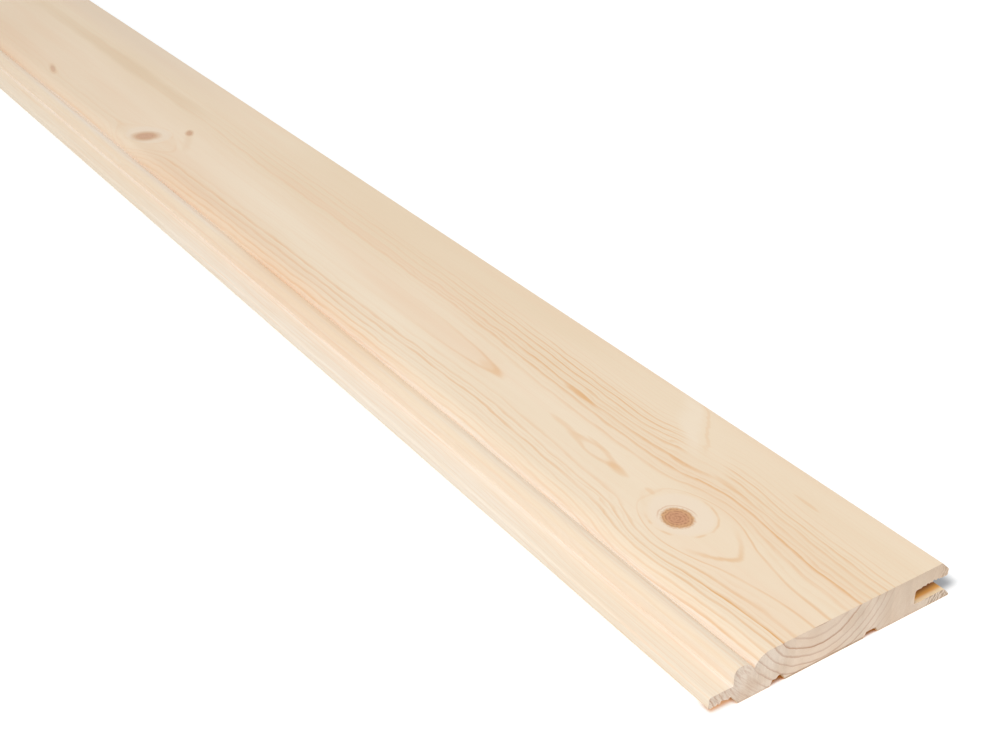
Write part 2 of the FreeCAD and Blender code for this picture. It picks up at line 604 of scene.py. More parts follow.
KNOTS = [
    Knot(
        place=(39.6, 61.4), half=(4.9, 5.6), skew=0.0, eye=(11.0, 24.6), eye_shift=(1.4, -4.65),
        lean=(-0.09, 0.30), tone=0.95, blur=0.7, eye_line=1.0,
    ),
    Knot(
        place=(29.3, 453.2), half=(6.1, 6.0), skew=-0.12, eye=(11.0, 27.0), eye_shift=(-1.0, -2.0),
        lean=(-0.50, 0.28), tone=0.73, blur=2.6, eye_line=0.3,
    ),
    Knot(
        place=(48.4, 445.0), half=(2.0, 3.4), skew=0.35, eye=(3.6, 10.0), eye_shift=(0.0, 0.0),
        lean=(0.20, 0.25), tone=0.66, blur=1.1, eye_line=0.0,
    ),
    Knot(
        place=(26.4, 577.0), half=(1.7, 7.4), skew=0.22, eye=(3.4, 14.0), eye_shift=(0.0, 0.0),
        lean=(-0.62, 0.30), tone=0.55, blur=1.0, eye_line=0.0,
    ),
    Knot(
        place=(64.0, 806.0), half=(4.2, 4.8), skew=0.0, eye=(8.5, 20.0), eye_shift=(0.0, -1.5),
        lean=(0.85, 0.28), tone=0.7, blur=0.8, eye_line=0.3,
    ),
]
print("knots:", [(knot.across, knot.along) for knot in KNOTS])

# %% [markdown]
# The timber puts the two together. It first asks where the grain would run without the knots, by drawing
# each point back towards the middle of an eye, and then counts rings from the heart. Three slow noises
# stir the rings, because no tree grows along a ruler. The whole part of the count is the ring, and the
# rest of it is how far the year had got.


# %% Grow the timber
class Timber(Place):
    """The timber's own measures at each point of a surface: place, ring and knots."""

    # Beside the lip, a branch that died young has pushed the grain aside.
    LIFTED = (57.0, 70.0)
    LIFTED_ALONG = (38.0, 80.0, 88.0, 114.0)
    LIFTED_BY = 3.5
    BLUNT_EYE = 4.0

    def __init__(self, finish, knots):
        super().__init__(finish)
        self.depth = FACE - self.z
        self.stir = self.cloud(0.09, 0.03) - 0.5
        self.fret = self.cloud(0.5, 0.09) - 0.5
        self.waver = self.cloud(0.16, 0.07, detail=1.0, shift=(0.0, 2.0, 0.0)) - 0.5
        self.part_round(knots)
        self.count_rings()
        self.vary_strength()

    def part_round(self, knots):
        """Looks up the grain where it would run without the knots."""
        self.knots = []
        self.grain_x = self.x - self.patch(self.LIFTED, self.LIFTED_ALONG) * self.LIFTED_BY
        for knot in knots:
            dy = self.y - knot.along - self.depth * knot.lean_along
            dx = self.x - knot.across - self.depth * knot.lean_across - dy * knot.skew
            aside = dx - knot.eye_across
            reach = (dy - knot.eye_along) * (1.0 / knot.eye_reach)
            blunt = (aside * aside + self.BLUNT_EYE).math("SQRT")
            eye = blunt * (1.0 / knot.eye_half) + reach * reach
            self.grain_x = self.grain_x - aside / eye.math("MAXIMUM", 1.0).math("POWER", 3.0)
            self.knots.append((knot, dx, dy, eye))

    def count_rings(self):
        """Counts the rings outwards from the heart."""
        finish = self.finish
        height = finish.drawn(self.y, HEART_HEIGHT, 10.0, 26.0)
        away = self.grain_x - finish.drawn(self.y, HEART_ACROSS, 38.0, 48.0)
        growth = finish.drawn(self.y, RING_GROWTH, 0.5, 1.5)
        growth = growth * (finish.step(away, -8.0, 8.0) * 0.12 + 0.93)
        up = self.depth * (self.depth * CLOSER_BELOW + DEEP_RINGS) + height
        self.off_heart = away.math("ABSOLUTE")
        self.settled = finish.step(self.off_heart, 2.5, 11.0)
        stirred = (self.stir * 0.9 + self.waver * 0.7 + self.fret * 0.5) * (self.settled + 0.12)
        self.ring = (away * away + up * up).math("SQRT") + stirred
        outer = (self.ring - OUTER_RINGS).math("MAXIMUM", 0.0)
        self.count = (self.ring - FIRST_RING) * (1.0 / RING_WIDTH) / growth + outer * outer * OUTER_CLOSER
        self.phase = self.count.math("FRACT")

    def vary_strength(self):
        """Lets each ring's latewood come and go along the board."""
        finish = self.finish
        gusts = finish.cloud(finish.vector(self.ring * 0.8, self.y * 0.014, 5.0))
        squalls = finish.cloud(finish.vector(self.ring * 1.4, self.y * 0.06, 9.0))
        comes = finish.step(gusts, 0.28, 0.68) * 0.4 + finish.step(squalls, 0.3, 0.65) * 0.4 + 0.4
        self.strength = finish.drawn(self.ring, RING_STRENGTH, 0.0, 1.0) * comes


print("timber: first ring", FIRST_RING, "mm from the heart, then one each", RING_WIDTH, "mm")

# %% [markdown]
# ## Colours of pine
#
# Early wood is cream, and each ring closes with an orange-brown band of latewood. Colours are written as
# the codes that a colour picker shows. A shader reckons in linear light, so each code is turned into
# linear numbers.


# %% Colours of pine
def paint(code):
    """A colour from its sRGB code, as the linear numbers that a shader takes."""
    parts = [int(code[i : i + 2], 16) / 255.0 for i in (1, 3, 5)]
    return tuple(p / 12.92 if p <= 0.04045 else ((p + 0.055) / 1.055) ** 2.4 for p in parts) + (1.0,)


CREAM = paint("#F6E3CA")
SAND = paint("#EDD5B6")
SAPWOOD = paint("#F7E8D4")
# The next three are painted light, for parts of the moulding that lie in shade.
PAINTED_LIGHT_APRICOT = paint("#FFDDB6")
PAINTED_LIGHT_PALE = paint("#FBF2E8")
PAINTED_LIGHT_WHITE = paint("#FFFCF8")
BLUSH = paint("#F0CFB0")
DULL_CREAM = paint("#E6D1BC")
# Painted shade, for the face far along the board.
SHADE_BAND = paint("#DFC09B")
LATEWOOD = paint("#DF9F4E")
RESIN = paint("#E09E4C")
print("cream in linear light:", [round(part, 3) for part in CREAM])

# %% [markdown]
# ## The ground of the planed face
#
# Under the rings the wood is not one cream: it drifts to sand and to a pinker blush, in clouds much
# longer along the grain than across it. The outer timber beside the tongue is paler sapwood. Each tone is
# a wash, a thin layer over a patch of the board, because washes can be added and tuned one at a time.


# %% Ground and washes
def wash(timber, colour, tone, amount, across=None, along=None, up=None):
    """Lays a thin wash of a tone over a patch of the board."""
    return timber.finish.mix(timber.patch(across, along, up) * amount, colour, tone)


def ground(timber):
    """Cream that drifts to sand and to a pinker blush."""
    finish = timber.finish
    drift = timber.cloud(0.03, 0.004, detail=3.0, shift=(0.0, 11.0, 0.0))
    sandy = finish.step(drift, 0.35, 0.7) * 0.5 + finish.step(timber.x, 46.0, 66.0) * 0.4
    pinker = timber.cloud(0.08, 0.005, shift=(4.0, 0.0, 0.0))
    colour = finish.mix(sandy, CREAM, SAND)
    return finish.mix(finish.step(pinker, 0.45, 0.75) * 0.4, colour, BLUSH)


# %% [markdown]
# The moulding beside the face has paler sapwood and a blush of its own. The rest is painted light and
# shade: the crest, which the lamp lights most, is painted darker, and the far side of the bead, the quirk,
# the foot of the flank and the tongue are painted paler, as painted light on their shade. The stretches
# below are places across the board.

# %% Tones of the moulding, with painted light and shade
SAP_STRIP = (22.0, 13.0)
TONGUE = (8.4, 7.4)
TONGUE_FOOT = (6.6, 7.8, 8.62, 8.8)
BEAD = (8.3, 8.55, 16.0, 21.0)
CREST = (8.5, 8.9, 9.6, 11.2)
BEAD_FAR_SIDE = (10.5, 12.5, 15.6, 16.2)
QUIRK = (15.2, 15.7, 16.1, 16.6)
FLANK_FOOT = (15.6, 16.0, 16.3, 17.4)
FLANK_TOP = (16.5, 18.5, 23.0, 27.0)


def tone_moulding_and_paint_light(timber, colour):
    """Lays the tones of the tongue, the bead, the quirk and the flank, and paints light and shade on them.
    """
    finish = timber.finish
    colour = wash(timber, colour, SAPWOOD, 0.8, SAP_STRIP)
    warmer = finish.stretch(timber.y, 170.0, 220.0, 290.0, 340.0) * 0.45 + 0.1
    colour = wash(timber, colour, BLUSH, warmer, BEAD)
    # Painted shade: the crest, which the lamp lights most, is darkened.
    colour = wash(timber, colour, SAND, 0.45, CREST)
    # Painted light: the far side of the bead, which lies in shade, is lightened along the board.
    colour = wash(timber, colour, PAINTED_LIGHT_APRICOT, 0.5, BEAD_FAR_SIDE, along=(130.0, 180.0, 300.0, 380.0))
    colour = wash(timber, colour, PAINTED_LIGHT_PALE, 0.45, BEAD_FAR_SIDE, along=(280.0, 380.0, 480.0, 640.0))
    # Painted light: the tongue and the foot of the tongue are lightened over their shade.
    colour = wash(timber, colour, PAINTED_LIGHT_PALE, 0.35, TONGUE, along=(50.0, 110.0, 330.0, 420.0))
    lower = finish.step(timber.z, 8.2, 7.5) * 0.45 + 0.25
    colour = wash(timber, colour, PAINTED_LIGHT_PALE, lower, TONGUE_FOOT, up=(6.6, 7.0))
    # Painted light: the shaded foot of the flank beside the quirk is lightened, most near the near end.
    flank_light = 0.85 - finish.step(timber.y, 210.0, 290.0) * 0.65
    colour = wash(timber, colour, PAINTED_LIGHT_PALE, flank_light, FLANK_FOOT)
    colour = wash(timber, colour, BLUSH, 0.42, FLANK_TOP, along=(210.0, 290.0, 390.0, 450.0))
    # Painted light: the shaded quirk is whitened far along the board.
    return wash(timber, colour, PAINTED_LIGHT_WHITE, 0.6, QUIRK, along=(300.0, 420.0))


print("moulding: from", TONGUE_FOOT[0], "to", FLANK_TOP[-1], "mm across")

# %% [markdown]
# Far along the board the face turns pinker on the tongue side and duller on the groove side. There it is
# also darkened with painted shade: a little away from the lip, and more in one ragged band between the
# middle and the groove.

# %% Tones and painted shade far along the board
LEFT_STRIP = (8.0, 15.0, 26.0, 42.0)
LEFT_AND_MIDDLE = (8.0, 15.0, 50.0, 66.0)
LEFT_OF_LIP = (72.0, 55.0)
LIP_STRIP = (68.0, 84.0)
SHADE_BAND_MIDDLE = 63.5
SHADE_BAND_HALF = 5.5


def tone_far_along(timber, colour):
    """Lays the pinker and duller tones that come in along the board, and painted shade far along it."""
    finish = timber.finish
    pinker = finish.stretch(timber.y, 300.0, 380.0, 430.0, 450.0) * 0.25
    pinker = pinker + finish.step(timber.y, 540.0, 640.0) * 0.35
    colour = wash(timber, colour, BLUSH, pinker, LEFT_STRIP)
    colour = wash(timber, colour, BLUSH, 0.2, LEFT_AND_MIDDLE, along=(330.0, 420.0))
    colour = wash(timber, colour, DULL_CREAM, 0.5, LIP_STRIP, along=(420.0, 600.0))
    # Painted shade: the face away from the lip is darkened a little far along the board.
    colour = wash(timber, colour, SHADE_BAND, 0.15, LEFT_OF_LIP, along=(590.0, 700.0))
    # Painted shade: a ragged band between the middle and the groove is darkened further along.
    aside = (timber.x - SHADE_BAND_MIDDLE) * (1.0 / SHADE_BAND_HALF)
    painted_shade = finish.step(aside * aside + timber.stir * 1.2, 1.0, 0.0)
    return wash(timber, colour, SHADE_BAND, painted_shade * 0.4, along=(440.0, 500.0, 600.0, 760.0))


print("painted shade band:", SHADE_BAND_MIDDLE - SHADE_BAND_HALF, "to", SHADE_BAND_MIDDLE + SHADE_BAND_HALF, "mm across")

# %% [markdown]
# ## Latewood on the planed face
#
# A ring's dark band is not equally strong everywhere: it fades along the board, shows little beside the
# groove, and breaks off at the slanting trace of a branch that died young. One number holds all of that,
# so the bands, the glow before them and the fine threads between them fade together. The changes are a
# list, one line each.

# %% How strongly latewood shows
FADE_ALONG = [
    (0, 1.0), (60, 0.95), (100, 0.85), (200, 0.85), (260, 0.9), (330, 0.9), (420, 0.8), (460, 0.4),
    (620, 0.28), (900, 0.4),
]
FACE_ACROSS = [
    (0, 0.2), (9, 0.25), (14, 0.4), (20, 0.6), (24, 0.65), (26.5, 1.0), (31, 0.8), (50, 0.9), (57, 0.75),
    (62, 0.8), (70, 0.7), (75, 0.25), (84, 0.06), (95, 0.1),
]
# More or less latewood: by how much, then the patch across and along, and the stretch away from the heart.
LATE_CHANGES = [
    (-0.2, (47.0, 56.0), (200.0, 330.0), None),
    (-0.85, None, (172.0, 225.0), (15.0, 9.0)),
    (-0.25, (37.0, 30.0), (50.0, 110.0), None),
    (0.7, (58.0, 61.0), (40.0, 95.0, 200.0, 260.0), None),
    (0.9, (15.5, 17.5, 21.0, 26.0), (170.0, 230.0, 380.0, 450.0), None),
    (-0.65, None, (68.0, 72.0, 80.0, 86.0), (10.0, 6.0)),
]
YOUNG_BRANCH = (78.0, 92.0)
YOUNG_SLOPE = 1.2


def past_young_branch(timber):
    """How far along the board a point lies past the trace of the branch that died young."""
    across, along = YOUNG_BRANCH
    return timber.y - along - (timber.x - across) * YOUNG_SLOPE + timber.fret * 4.0 + timber.stir * 14.0


def latewood(timber, slant):
    """How strongly latewood shows at each point of the face."""
    finish = timber.finish
    late = timber.strength * finish.drawn(timber.y, FADE_ALONG, 0.0, 1.0)
    late = late * finish.drawn(timber.x, FACE_ACROSS, 0.0, 1.0)
    broken = finish.step(slant.math("ABSOLUTE"), 15.0, 6.0) * finish.step(timber.x, 59.0, 66.0)
    late = late * (1.0 - broken * 0.85)
    for amount, across, along, off_heart in LATE_CHANGES:
        place = timber.patch(across, along)
        if off_heart:
            place = place * finish.stretch(timber.off_heart, *off_heart)
        late = late * (place * amount + 1.0)
    return late


print("latewood: changed in", len(LATE_CHANGES), "patches")

# %% [markdown]
# The bands themselves come in softly from the heart side and stop sharply, as a tree stops in autumn.
# Near the flames the rings lie almost flat in the face, so the bands are narrow there, and far along the
# board they blur. A second, finer count of the rings gives the thin threads between the bands.

# %% Rings on the planed face
BLURS = (150.0, 300.0)
BAND_FULL = 0.93
FAR_RIGHT = ((50.0, 57.0), (150.0, 230.0))
BELT = 61.5


def ring_bands(timber, soft):
    """The closing band of each ring, and the glow that comes before it."""
    finish = timber.finish
    opens = 0.9 - timber.settled * 0.3 - soft * 0.3 - finish.step(timber.x, 34.0, 26.0) * 0.08
    close = 1.0 - finish.step(timber.phase, 0.94 - timber.settled * 0.06, 1.0)
    band = finish.step(timber.phase, opens, BAND_FULL) * close
    glow = finish.step(timber.phase, 0.3, 0.95) * close
    return band, glow


def lay_rings(timber, colour, late):
    """Lays glow, bands and threads over the colour, and also returns how strong the bands are."""
    finish = timber.finish
    soft = finish.step(timber.y, *BLURS)
    band, glow = ring_bands(timber, soft)
    lines = band * late
    colour = finish.mix(glow * late * (0.35 + soft * 0.35), colour, BLUSH)
    flame = finish.step(timber.off_heart, 8.0, 3.0) * 0.25
    colour = wash(timber, colour, BLUSH, flame, along=(160.0, 178.0, 220.0, 290.0))
    bold = timber.patch((33.0, 28.0), (60.0, 30.0)) * 0.35 + 0.72 - soft * 0.2
    far_right = timber.patch(*FAR_RIGHT)
    colour = finish.mix(lines * bold * (1.0 - far_right * 0.55), colour, LATEWOOD)
    belt = finish.step((timber.x - BELT + timber.stir * 3.0).math("ABSOLUTE"), 3.2, 0.6)
    colour = wash(timber, colour, BLUSH, belt * far_right * 0.4, along=(400.0, 330.0))
    finer = (timber.count * 2.0 + 0.3 + timber.fret * 0.8).math("FRACT")
    thread = finish.stretch(finer, 0.4, 0.9, 0.92, 1.0) * timber.settled
    return finish.mix(thread * late * (0.28 - soft * 0.12), colour, LATEWOOD), lines


print("bands: full at", BAND_FULL, "of a ring")

# %% [markdown]
# ## Traces, resin and fibres
#
# Small marks make the face read as timber: the dark line and pale flank of the young branch, streaks of
# resin, and everywhere fine fibres. The streaks could be drawn by hand on an image, but measured ovals
# with a ragged edge stay sharp at any size. The fibres are noise that hardly changes along the grain.

# %% Marks of branches and resin
# Resin streaks: place across and along, half width and half length, and how strongly they show.
RESIN_STREAKS = [
    (58.8, 136.0, 1.2, 13.0, 0.55), (78.2, 45.0, 0.9, 7.0, 0.25), (64.5, 66.0, 1.3, 9.0, 0.25),
    (42.0, 77.4, 1.3, 3.0, 0.22), (41.0, 93.0, 2.4, 6.5, 0.32), (44.8, 108.0, 0.9, 8.0, 0.25),
    (43.0, 124.0, 1.4, 11.0, 0.2), (43.4, 169.0, 3.2, 10.0, 0.2),
]
STREAK_SLOPE = 0.03
KNOT_TAN = paint("#D8A876")
TAIL = (48.2, 444.0)
TAIL_SLOPE = 0.55


def lay_young_branch(timber, colour, slant):
    """Lays the dark line of the young branch and the pale wood behind it."""
    finish = timber.finish
    line = finish.step(slant.math("ABSOLUTE"), 1.5, 0.2) * 0.18
    colour = wash(timber, colour, LATEWOOD, line, across=(68.0, 77.0))
    behind = finish.stretch(slant, 1.5, 5.0, 8.0, 16.0) * 0.35
    return wash(timber, colour, SAPWOOD, behind, across=(64.0, 74.0))


def lay_resin(timber, colour):
    """Lays the streaks of resin, and the tail of the small knot."""
    finish = timber.finish
    for across, along, half_across, half_along, amount in RESIN_STREAKS:
        streak_x = (timber.x - across - (timber.y - along) * STREAK_SLOPE) * (1.0 / half_across)
        streak_y = (timber.y - along) * (1.0 / half_along)
        streak = finish.step(streak_x * streak_x + streak_y * streak_y + timber.fret * 0.9, 1.0, 0.0)
        colour = finish.mix(streak * amount, colour, RESIN)
    across, along = TAIL
    tail = finish.step((timber.x - across - (timber.y - along) * TAIL_SLOPE).math("ABSOLUTE"), 3.4, 0.3)
    return wash(timber, colour, KNOT_TAN, tail * 0.16, along=(421.0, 431.0, 441.0, 446.0))


print("resin streaks:", len(RESIN_STREAKS))


# %% Fibres
def lay_fibres(timber, colour):
    """Lays fine fibres and longer strands over the colour, and also returns the fibres."""
    finish = timber.finish
    beside_tongue = finish.step(timber.x, 22.0, 14.0)
    fibre = timber.cloud(3.2, 0.05, detail=3.0, roughness=0.6)
    colour = finish.mix(finish.step(fibre, 0.62, 0.25) * (beside_tongue * 0.3 + 0.16), colour, SAND)
    strands = timber.cloud(1.1, 0.012, detail=3.0, roughness=0.6, shift=(0.0, 0.0, 3.0))
    return finish.mix(finish.step(strands, 0.5, 0.72) * (beside_tongue * 0.25 + 0.2), colour, BLUSH), fibre


# %% [markdown]
# ## Knots on the planed face
#
# Round a knot lies a pale oval, where the grain turns up, and a thin line where it closes again. The knot
# itself is end grain: tan at its rim, redder inside, with rings of its own. All of it is reckoned from
# the same leaning cone that parted the grain, so the knot sits in the middle of its eye on the face and
# on the back alike.

# %% The eye of a knot
KNOT_RED = paint("#CE9670")
KNOT_BROWN = paint("#A96E48")
HALO = paint("#F2DFCA")
OVAL_SHIFT = (2.1, 1.1)
OVAL_SHARE = (0.95, 0.515)


def lay_eye(timber, colour, knot, dx, dy, eye, wander):
    """Lays the pale oval round a knot, its seam, and the line at the tips of the eye."""
    finish = timber.finish
    oval_x = (dx - OVAL_SHIFT[0]) * (1.0 / (knot.eye_half * OVAL_SHARE[0]))
    oval_y = (dy - OVAL_SHIFT[1]) * (1.0 / (knot.eye_reach * OVAL_SHARE[1]))
    oval = (oval_x * oval_x + oval_y * oval_y).math("SQRT") + timber.stir * 0.3 + timber.fret * 0.05
    colour = finish.mix(finish.step(oval, 1.0, 0.8) * 0.5, colour, HALO)
    seam = finish.stretch(oval, 0.93, 0.99, 1.0, 1.06) * finish.step(dy, 13.0, 3.0)
    colour = finish.mix(seam * finish.step(wander, 0.35, 0.6) * 0.3 * knot.eye_line, colour, LATEWOOD)
    line = finish.stretch(eye + timber.stir * 0.35 + timber.fret * 0.12, 0.86, 0.98, 1.0, 1.14)
    tips = finish.step(dy, knot.eye_reach * -0.4, knot.eye_reach * -0.95) * 0.38
    tips = tips + finish.step(dy, knot.eye_reach * 0.3, knot.eye_reach * 0.7) * 0.06
    tips = tips * (finish.step(dx, 9.0, -1.0) * 0.5 + 0.5)
    return finish.mix(line * tips * knot.eye_line, colour, LATEWOOD)


# %% The heart of a knot
def lay_heart(timber, colour, knot, dx, dy):
    """Lays the knot itself: its rim on one side, its core and the rings in it."""
    finish = timber.finish
    half = knot.half_across
    core_x = dx * (1.0 / half)
    core_y = dy * (1.0 / knot.half_along)
    near = (core_x * core_x + core_y * core_y).math("SQRT") * half + timber.stir * 1.4 + timber.fret * 0.9
    speck = finish.cloud(finish.vector(dx * 1.3, dy * 0.9, timber.z))
    rim = finish.stretch(near, half + 0.6, half + 0.9, half + 1.0, half + 1.5)
    one_side = finish.step(dy + dx * 0.6, -1.0, 4.0)
    colour = finish.mix(rim * one_side * 0.4 * knot.eye_line, colour, KNOT_RED)
    core = finish.step(near + (speck - 0.5) * 1.6, half + knot.blur, half - knot.blur)
    turns = (near * (2.0 * math.pi) + timber.fret * 5.0).math("SINE") * 0.5 + 0.5
    tone = finish.mix(finish.step(near, half, half * 0.45), KNOT_TAN, KNOT_RED)
    tone = finish.mix(turns * finish.step(speck, 0.3, 0.65) * 0.85, tone, KNOT_BROWN)
    return finish.mix(core * knot.tone, colour, tone)


def lay_knots(timber, colour):
    """Lays every knot over the colour. Only the larger ones have an eye that shows."""
    wander = timber.cloud(0.22, 0.22, detail=1.0)
    for knot, dx, dy, eye in timber.knots:
        if knot.eye_line:
            colour = lay_eye(timber, colour, knot, dx, dy, eye, wander)
        colour = lay_heart(timber, colour, knot, dx, dy)
    return colour


print("knots with an eye:", sum(knot.eye_line > 0.0 for knot in KNOTS), "of", len(KNOTS))

# %% [markdown]
# ## Painted shade in the groove
#
# Little light reaches deep into a groove, and what bounces about in it comes out warmer. More bounces
# could show some of that, so the wood itself is painted instead: painted light on a pale lip at the very
# end, then painted shade in gold and then brown further in, strongest near the near end. The lowest part
# of the board is painted a little warmer too, a painted warm shade near the floor.

# %% Painted shade in the groove and along the bottom
GROOVE = (80.5, 82.0)
GROOVE_HEIGHT = (2.8, 3.1, 8.2, 8.8)
LIP_GLOW = paint("#FFE6C0")
WARM_SHADE = paint("#F4B45C")
SHADE_BROWN = paint("#A0632C")
DEEP_SHADE_BROWN = paint("#482C26")


def shade_groove(timber, colour):
    """Paints shade and a lit lip into the groove, and warm shade along the bottom of the board."""
    finish = timber.finish
    # Painted light at the lip, then painted shade deeper into the groove.
    groove_shade = finish.mix(finish.step(timber.y, 0.6, 2.2), LIP_GLOW, WARM_SHADE)
    groove_shade = finish.mix(finish.step(timber.y, 1.8, 4.4), groove_shade, SHADE_BROWN)
    groove_shade = finish.mix(finish.step(timber.y, 4.0, 6.0), groove_shade, DEEP_SHADE_BROWN)
    # The painted shade is strongest near the near end.
    shade_near_end = finish.step(timber.y, 18.0, 8.0) * 0.72 + 0.28
    colour = wash(timber, colour, groove_shade, shade_near_end, GROOVE, up=GROOVE_HEIGHT)
    # Painted warm shade on the lowest part of the board, near the floor.
    return wash(timber, colour, WARM_SHADE, 0.25, up=(2.3, 0.6))


print("groove: from", GROOVE[0], "mm across,", GROOVE_HEIGHT[0], "to", GROOVE_HEIGHT[-1], "mm up")

# %% [markdown]
# ## Planed pine
#
# The finish of the planed sides lays all of this over each other in the order in which it lies in the
# wood. Bands of latewood are harder, so they come off the cutters smoother and stand a little proud: they
# lower the roughness and raise the bump.

# %% Planed pine
PLANED_SHINE = 0.3
PLANED_BUMP = 0.12
BUMP_HEIGHT = 0.0003


def planed_pine():
    """The finish of the face, the moulding, the edges and the back."""
    finish = Finish("planed_pine")
    timber = Timber(finish, KNOTS)
    slant = past_young_branch(timber)
    late = latewood(timber, slant)
    colour = ground(timber)
    colour = tone_moulding_and_paint_light(timber, colour)
    colour = tone_far_along(timber, colour)
    colour, lines = lay_rings(timber, colour, late)
    colour = lay_young_branch(timber, colour, slant)
    colour = lay_resin(timber, colour)
    colour, fibre = lay_fibres(timber, colour)
    colour = lay_knots(timber, colour)
    colour = shade_groove(timber, colour)
    relief = fibre * 0.6 + lines * 0.25
    bump_inputs = {"Strength": PLANED_BUMP, "Distance": BUMP_HEIGHT, "Height": relief}
    finish.feed(finish.shader["Base Color"], colour)
    finish.feed(finish.shader["Roughness"], 0.62 - lines * 0.12 + fibre * 0.06)
    finish.feed(finish.shader["Specular IOR Level"], PLANED_SHINE)
    finish.feed(finish.shader["Normal"], finish.node("ShaderNodeBump", None, bump_inputs))
    print("planed pine:", len(finish.tree.nodes), "nodes")
    return finish.material


board.data.materials.append(planed_pine())

# %% [markdown]
# ## Sawn end grain
#
# The end shows the same rings, cut square: thin brown lines in paler, greyer wood. It could reuse the
# planed finish, but cut fibres scatter light and hide the warm tones. So it grows the same timber,
# without the eyes of the knots, and lays its own colours.

# %% Ground and rings of the end
END_PALE = paint("#F1E0CE")
END_TAN = paint("#DFC6AC")
END_RING = paint("#A9693B")
END_STRIPE_AND_SHADE = paint("#94724C")
# How strongly latewood shows across the sawn end.
END_ACROSS = [
    (0, 1.0), (8, 0.85), (11, 0.5), (15, 0.5), (19, 0.85), (26, 1.0), (52, 1.0), (59, 0.7), (66, 0.6),
    (70, 0.4), (76, 0.15), (84, 0.1), (88, 0.2), (95, 0.2),
]


def end_ground(timber):
    """Pale sawn wood, with tan towards the groove."""
    finish = timber.finish
    drift = timber.cloud(0.12, 0.1, detail=3.0)
    colour = finish.mix(finish.step(drift, 0.35, 0.7), END_PALE, DULL_CREAM)
    tan = finish.step(timber.x, 70.0, 80.0) * (0.35 - finish.step(timber.z, 7.0, 4.0) * 0.4)
    tan = finish.step(timber.x, 48.0, 56.0) * 0.35 + tan
    colour = finish.mix(tan, colour, END_TAN)
    return wash(timber, colour, BLUSH, 0.3, across=(24.0, 34.0, 46.0, 56.0))


def end_rings(timber, colour):
    """Thin brown lines that close each ring."""
    finish = timber.finish
    late = timber.strength * finish.drawn(timber.x, END_ACROSS, 0.0, 1.0)
    close = 1.0 - finish.step(timber.phase, 0.955, 1.0)
    glow = finish.step(timber.phase, 0.4, 0.95) * close
    opens = 0.66 - finish.step(timber.x, 84.0, 88.0) * 0.3 - finish.step(timber.x, 10.0, 7.0) * 0.15
    line = finish.step(timber.phase, opens, BAND_FULL) * close
    colour = finish.mix(glow * late * 0.45, colour, DULL_CREAM)
    return finish.mix(line * late * 0.62, colour, END_RING)


print("end: latewood at the tongue", END_ACROSS[0][1], "and at the lip", END_ACROSS[-1][1])

# %% [markdown]
# The two lips of the groove are thin, and the saw has roughened them most: their rings show as coarse
# stripes. Torn fibres speckle the tongue side. Along the bottom the rim is painted browner: a painted
# warm shade where the end meets the floor.

# %% Lips, torn fibres and painted shade on the rim of the end
COARSE_STRIPE = 1.35
TORN_SIDE = (22.0, 15.0)


def end_lips(timber, colour):
    """Coarse stripes on the two lips of the groove."""
    finish = timber.finish
    stripe = (timber.ring * (1.0 / COARSE_STRIPE) + timber.fret * 1.6).math("FRACT")
    stripe = finish.stretch(stripe, 0.25, 0.6, 0.75, 0.98)
    lower_lip = timber.patch(across=(84.0, 87.0), up=(6.0, 4.0))
    upper_lip = timber.patch(across=(88.0, 91.0), up=(7.0, 8.0)) * 0.5
    colour = finish.mix(lower_lip * 0.5, colour, END_PALE)
    return finish.mix(stripe * (lower_lip + upper_lip) * 0.6, colour, END_STRIPE_AND_SHADE)


def end_fibres(timber, colour):
    """Torn fibres, pores and painted shade along the bottom rim. Also returns the pores."""
    finish = timber.finish
    torn = finish.vector(timber.ring * 1.5, (timber.x + timber.z) * 1.3, timber.y * 0.2)
    torn = finish.cloud(torn, 2.0, 0.6)
    colour = wash(timber, colour, END_RING, finish.step(torn, 0.45, 0.62) * 0.2, TORN_SIDE)
    colour = wash(timber, colour, END_PALE, finish.step(torn, 0.45, 0.3) * 0.4, TORN_SIDE)
    pores = timber.cloud(4.0, 1.0, detail=3.0, roughness=0.65)
    colour = finish.mix(finish.step(pores, 0.6, 0.3) * 0.14, colour, END_RING)
    # Painted shade: the bottom rim of the end is browned where it meets the floor.
    rim = finish.step(timber.z + (pores - 0.5) * 0.8, 0.75, 0.2)
    bottom_shade_amount = finish.stretch(timber.x, 22.0, 30.0, 56.0, 64.0) * 0.4 + 0.2
    return finish.mix(rim * bottom_shade_amount, colour, END_STRIPE_AND_SHADE), pores


# %% Sawn pine
SAWN_SHINE = 0.36
SAWN_BUMP = 0.35


def sawn_pine():
    """The finish of the two ends."""
    finish = Finish("sawn_pine")
    timber = Timber(finish, [])
    colour = end_ground(timber)
    colour = end_rings(timber, colour)
    colour = end_lips(timber, colour)
    colour, pores = end_fibres(timber, colour)
    bump_inputs = {"Strength": SAWN_BUMP, "Distance": BUMP_HEIGHT, "Height": pores}
    finish.feed(finish.shader["Base Color"], colour)
    finish.feed(finish.shader["Roughness"], 0.82 + pores * 0.1)
    finish.feed(finish.shader["Specular IOR Level"], SAWN_SHINE)
    finish.feed(finish.shader["Normal"], finish.node("ShaderNodeBump", None, bump_inputs))
    print("sawn pine:", len(finish.tree.nodes), "nodes")
    return finish.material


board.data.materials.append(sawn_pine())
print("finishes:", [finish.name for finish in board.data.materials])

